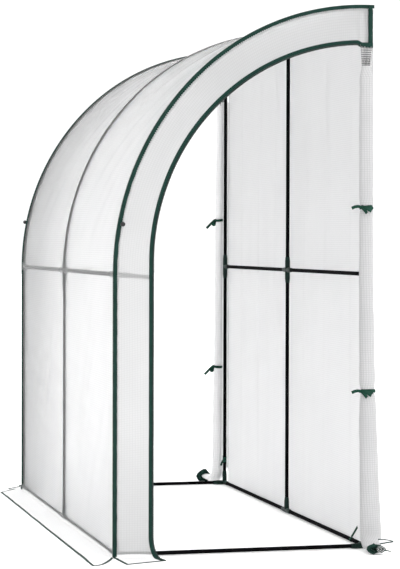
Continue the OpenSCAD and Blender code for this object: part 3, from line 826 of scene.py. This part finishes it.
for end, out, seed in (("near", -1, 1.0), ("far", 1, 5.0)):
    drops = [(ROLL_TALL - EARLY) * i / TALL_ROWS for i in range(TALL_ROWS + 1)]
    drops += [drops[-1] + (ROLL_LEN - drops[-1]) * i / SCROLL_ROWS
              for i in range(1, SCROLL_ROWS + 1)]
    columns = int(TURNS * AROUND)
    rows = []
    for drop in drops:
        at, across, outward, half_x, half_y = roll_place(end, drop)
        slack = fade(ROLL_LEN - drop, 0.02, 0.22)
        creased = 0.045 + 0.06 * fade(drop, 0.02, 0.12)
        row, gone = [], 0.0
        for j in range(columns + 1):
            wound = j / columns
            angle = FIRST_TURN + 2 * math.pi * (TURNS + (LOOSE_TURNS - TURNS) * slack) * wound
            cos, sin = math.cos(angle), math.sin(angle)
            keep = 1 - (1 - CORE) * wound
            rough = 1 + (0.05 * math.sin(2 * angle + 1.7 * drop + seed)
                         + 0.04 * math.sin(3 * angle - 2.6 * drop)
                         + 0.035 * noise.noise((cos * 1.6, sin * 1.6 + seed, drop * 5))
                         + creased * noise.noise((cos * 2.5, sin * 2.5, drop * 26 + seed)))
            here = (at + across * (half_x * (keep * rough * cos - DROPPED_CORE * slack * (1 - keep)))
                    + outward * (half_y * keep * rough * sin))
            here.z = max(here.z, ON_GROUND + 0.0007 * (1 - wound))
            if row:
                gone += (here - row[-1][0]).length
            row.append((here, (gone, -drop)))
        lap = []
        for k in range(SEWN):
            sewn = (-0.004 - SEWN_STEP * k / SEWN, out * (end_y + SEAM + 0.0008 + 0.0004 * k),
                    ROLL_TOP - drop)
            lap.append((sewn if drop < ROLL_TALL else row[0][0], (SEWN_STEP * (k - SEWN), -drop)))
        rows.append(lap + row)
    roll = cloth_piece(end + "_rolled_door", rows, ROLL_FILM_SHADED_AND_LIT[end])
    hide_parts(end + "_door_roll")
    at, *_ = roll_place(end, ROLL_LEN)
    path, folds = [], [[]]
    for j, ((edge, _), (behind, _)) in enumerate(zip(rows[-1][SEWN:], rows[-4][SEWN:])):
        radial = Vector((edge.x - at.x, 0, edge.z - at.z)).normalized()
        axial = (behind - edge).normalized()
        lean = fade(radial.x, -0.5, 0.1) * fade(j / columns, 0.5, 0.75)
        into = (axial * (1 - 0.6 * lean) + radial * 0.6 * lean).normalized()
        wide = 1 + 2 * (1 - lean) if end == "near" else 1
        face = (radial - into * radial.dot(into) - axial * 0.4 * lean).normalized()
        path.append((edge, into * wide, face))
        if radial.x > 0.25 and j / columns < 0.8:
            folds[-1].append((edge + axial * 0.0012 - radial * 0.0012, -radial, -axial))
        elif folds[-1]:
            folds.append([])
    hem = tape_strip(end + "_door_hem", path, fold_over(*DOOR_HEM[end]), binding_tape)
    for vertex in hem.data.vertices:
        vertex.co.z = max(vertex.co.z, HEM_LOW)
    folds = [strip(f"{end}_scroll_fold_{k}", run, SCROLL_SECTION, flap_film_painted_light)
             for k, run in enumerate(folds) if len(run) > 2]
    rows = sheet_rows(shares(NECK_ROWS), shares(NECK_WIDE),
                      lambda share, along: neck_point(out, seed, share, along))
    neck = cloth_piece(end + "_door_neck", rows, neck_film_painted_shade)

# The near door's lower corner has slipped out of the roll. Its hem runs out to a point above the
# ground, doubles back, and shows once more at the foot of the scroll.
DOWN, TO_FRONT = Vector((0, 0, -1)), Vector((0, -1, 0))
CORNER_BINDING, LOW_BINDING = (0.0034, 0.0016), (0.003, 0.0014)
CORNER_HEM = [Vector(at) for at in (
    (-0.012, -1.176, 0.052), (0.004, -1.19, 0.0535), (0.022, -1.197, 0.051), (0.036, -1.2, 0.0475),
    (0.041, -1.2, 0.046), (0.036, -1.201, 0.0445), (0.02, -1.2, 0.043), (0.004, -1.196, 0.040),
    (-0.008, -1.185, 0.036))]
LOW_HEM = [Vector(at) for at in (
    (-0.012, -1.226, 0.0165), (0.002, -1.229, 0.0165), (0.012, -1.231, 0.015), (0.02, -1.232, 0.0125))]
tape_strip("near_loose_hem", [(at, DOWN, TO_FRONT) for at in CORNER_HEM],
           fold_over(*CORNER_BINDING), binding_tape)
rows = [[upper.lerp(lower, share) for share in shares(4)]
        for upper, lower in zip(CORNER_HEM[:4], CORNER_HEM[:4:-1])]
loose_film = cloth_piece("near_loose_corner", [[(p, p.xz) for p in row] for row in rows], flap_film_painted_light)
tape_strip("near_low_hem", [(at, DOWN, TO_FRONT) for at in LOW_HEM], fold_over(*LOW_BINDING),
           hem_tape)

# Ribbons of the same green tape are sewn to the wall posts and tied round the rolls in bows.
# Two more hang loose, one knotted round the far post and one on the wall's base rail.
tie_ribbon = tape_finish("tie_ribbon", (0.0035, 0.030, 0.018), (0.007, 0.050, 0.032), 560)
CURVE_STEPS = 6


def smooth_line(start, corners):
    """A smooth line through some points, given from a start."""
    corners = [start + Vector(corner) for corner in corners]
    line = []
    for i in range(len(corners) - 1):
        a, b = corners[max(i - 1, 0)], corners[i]
        c, d = corners[i + 1], corners[min(i + 2, len(corners) - 1)]
        for k in range(CURVE_STEPS):
            t = k / CURVE_STEPS
            line.append(0.5 * (2 * b + (c - a) * t + (2 * a - 5 * b + 4 * c - d) * t * t
                               + (3 * b - a - 3 * c + d) * t ** 3))
    return line + [corners[-1]]


def ribbon(name, line, flat_side, width):
    """A ribbon along a line, its width square to the line and to flat_side."""
    path, length = [], 0.0
    for i, point in enumerate(line):
        along = (line[min(i + 1, len(line) - 1)] - line[max(i - 1, 0)]).normalized()
        face = flat_side(point) if callable(flat_side) else Vector(flat_side)
        face = (face - along * face.dot(along)).normalized()
        path.append((point, along.cross(face), face))
        length += (point - line[i - 1]).length if i else 0.0
    half = width / 2
    piece = tape_strip(name, path, [(-half, -0.0004), (0.0, -0.0003), (half, -0.0004),
                                    (half, 0.0004), (0.0, 0.0005), (-half, 0.0004)], tie_ribbon)
    return piece


def round_turns(count, steps, start=0.0):
    """Angles of a count of steps, with so many steps to a turn."""
    return [start + 2 * math.pi * k / steps for k in range(count + 1)]


BOWS = {
    "near": ([(0, 0, 0), (-0.014, 0.004, 0.003), (-0.028, 0.005, 0.001), (-0.04, 0.004, -0.004)],
             [(0, 0, 0), (0.012, 0.01, -0.001), (0.026, 0.014, -0.005), (0.037, 0.01, -0.004),
              (0.04, 0.005, -0.001), (0.03, 0.004, 0), (0.014, 0.003, 0.001), (0, 0.001, 0.001)],
             [(0, 0.001, 0), (0.006, 0.012, -0.008), (0.012, 0.016, -0.016), (0.018, 0.015, -0.023)],
             [(0.006, 0.004, 0), (0.018, 0.014, -0.006), (0.028, 0.016, -0.011),
              (0.036, 0.014, -0.016)]),
    "far": ([(0, 0, 0), (-0.01, 0.004, -0.008), (-0.026, 0.006, -0.024), (-0.042, 0.006, -0.04)],
            [(0, 0, 0), (-0.005, 0.006, -0.008), (-0.009, 0.008, -0.018), (-0.005, 0.007, -0.023),
             (0.001, 0.005, -0.016), (0.001, 0.003, -0.006), (0, 0.001, 0)],
            [(0, 0.001, 0), (0.003, 0.006, -0.006), (0.004, 0.008, -0.014), (0.003, 0.008, -0.022)]),
}
BOW_WIDTHS = {"tail": 0.012, "bow": 0.015, "end": 0.013, "tip": 0.012}
LOOP_W, KNOT_W, WRAP_W, WRAP_R = 0.012, 0.010, 0.011, 0.0088
TIED_TURN, LOOP_SLACK = {"near": 2.6, "far": 3.0}, 1.09
POST_WRAP_Z, POST_PITCH, RAIL_WRAP_Y, RAIL_PITCH = 0.106, 0.0064, -0.905, 0.003
for end, out in ENDS:
    for number, tie in enumerate(TIES[end]):
        at, across, outward, half_x, half_y = roll_place(end, ROLL_TOP - tie)
        wide, deep = LOOP_SLACK * half_x, LOOP_SLACK * half_y
        ring = [at + across * (wide + 0.0008) * math.cos(a) + outward * (deep + 0.0008) * math.sin(a)
                + Vector((0, 0, 0.003 * math.sin(a + number))) for a in round_turns(48, 48)]
        turn = TIED_TURN[end]
        tied_at = (at + across * (wide + 0.002) * math.cos(turn)
                   + outward * (deep + 0.003) * math.sin(turn))
        lump = [tied_at + Vector((0.004 * math.cos(a), out * (0.002 + 0.0035 * math.sin(a)),
                                  0.0008 * math.sin(2 * a))) for a in round_turns(16, 16)]
        knot = ribbon(f"{end}_tie_{number}_knot", lump, lambda p: p - tied_at, KNOT_W)
        loop = ribbon(f"{end}_tie_{number}_loop", ring, lambda p: p - at, LOOP_W)
        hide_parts(end + "_door_ties")
        for part, corners in zip(BOW_WIDTHS, BOWS[end]):
            line = smooth_line(tied_at, [(a, out * b, c) for a, b, c in corners])
            ribbon(f"{end}_tie_{number}_{part}", line, (0.15, out, 0.25), BOW_WIDTHS[part])

wrap = [Vector((wall_x + WRAP_R * math.cos(a), end_y + WRAP_R * math.sin(a),
                POST_WRAP_Z + POST_PITCH * a / math.pi))
        for a in round_turns(60, 24)]
ribbon("far_post_ribbon", wrap, lambda p: p - Vector((wall_x, end_y, p.z)), WRAP_W)
tail = smooth_line(wrap[30], [(0, 0, 0), (-0.006, -0.001, -0.006), (-0.012, -0.001, -0.016),
                              (-0.016, 0.0, -0.03)])
ribbon("far_post_ribbon_tail", tail, (0.3, -1, 0.2), 0.010)
wrap = [Vector((wall_x + WRAP_R * math.cos(a), RAIL_WRAP_Y + RAIL_PITCH * a / math.pi,
                foot_z + WRAP_R * math.sin(a)))
        for a in round_turns(52, 24, 0.4)]
ribbon("base_rail_ribbon", wrap, lambda p: p - Vector((wall_x, p.y, foot_z)), WRAP_W)
tail = smooth_line(wrap[-1], [(0, 0, 0), (0.001, -0.018, 0.014), (0.002, -0.042, 0.032),
                              (0.002, -0.068, 0.05)])
ribbon("base_rail_ribbon_tail", tail, (1, 0.2, 0), 0.0105)

# The black knobs are turned plastic pegs, pushed through the seam into a hole in each end arch.
# They keep the cover from creeping along the arch.
knob_black = handled_finish("knob_black", (0.003, 0.003, 0.0034), (0.008, 0.008, 0.009),
                            rough=(0.3, 0.45), patches=90, grain=2400, relief=(0.2, 0.0003))
ROUND = [(math.cos(math.pi * k / 12), math.sin(math.pi * k / 12)) for k in range(24)]
PEG = ((0.0, 0.0048), (0.011, 0.0048), (0.0125, 0.0078), (0.015, 0.0088), (0.0195, 0.0088),
       (0.0225, 0.0072), (0.024, 0.004))
PEG_IN = 0.002
for end, out, x, z in (("near", -1, -0.9964, 1.2569), ("far", 1, -1.0098, 1.2803)):
    line = [(Vector((x, out * (end_y + EDGE - PEG_IN + reach), z)), Vector((r, 0, 0)),
             Vector((0, 0, r))) for reach, r in PEG]
    knob = strip(end + "_arch_knob", line, ROUND, knob_black)
    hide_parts("arch_knobs")

# The floor is a plain white studio floor, lit a little from below like a packshot table and wide
# enough to run out of the view on every side. It is not part of the greenhouse.
FAR_OUT = 60
floor_mesh = bpy.data.meshes.new("studio_floor")
floor_mesh.from_pydata([(-FAR_OUT, -FAR_OUT, 0), (FAR_OUT, -FAR_OUT, 0), (FAR_OUT, FAR_OUT, 0),
                        (-FAR_OUT, FAR_OUT, 0)], [], [(0, 1, 2, 3)])
floor = bpy.data.objects.new("studio_floor", floor_mesh)
scene.collection.objects.link(floor)
floor_white = handled_finish(
    "floor_white", (0.95, 0.95, 0.95), (0.97, 0.97, 0.97), rough=(0.9, 0.9), patches=1,
    also={"Specular IOR Level": 0.1, "Emission Color": (1, 1, 1), "Emission Strength": 0.16})
floor_mesh.materials.append(floor_white)

# The light is a white surround, dimmer to the left and brighter above, with one large soft panel high
# on the right in front of the near end. They give the even light of a packshot with a little form.
surround = bpy.data.worlds.new("surround")
surround.use_nodes = True
tree = surround.node_tree
towards = place(tree, "SeparateXYZ", {0: place(tree, "TexCoord").outputs["Generated"]})
from_left = between(tree, towards.outputs[0], 0.62, 1.42, -0.9, 1.0)
from_above = between(tree, towards.outputs[2], 0.0, 0.8, 0.1, 0.9)
feed(tree.nodes["Background"], {"Color": (1, 1, 1),
                                "Strength": maths(tree, "ADD", from_left, from_above)})
scene.world = surround
panel = bpy.data.objects.new("soft_panel", bpy.data.lights.new("soft_panel", "AREA"))
panel.data.shape, panel.data.size, panel.data.size_y = "RECTANGLE", 5.0, 4.0
panel.data.energy = 60
panel.location = (4.5, -6.5, 5.0)
panel.rotation_euler = (Vector((-0.5, 0.0, 0.9)) - panel.location).to_track_quat("-Z", "Y").to_euler()
scene.collection.objects.link(panel)
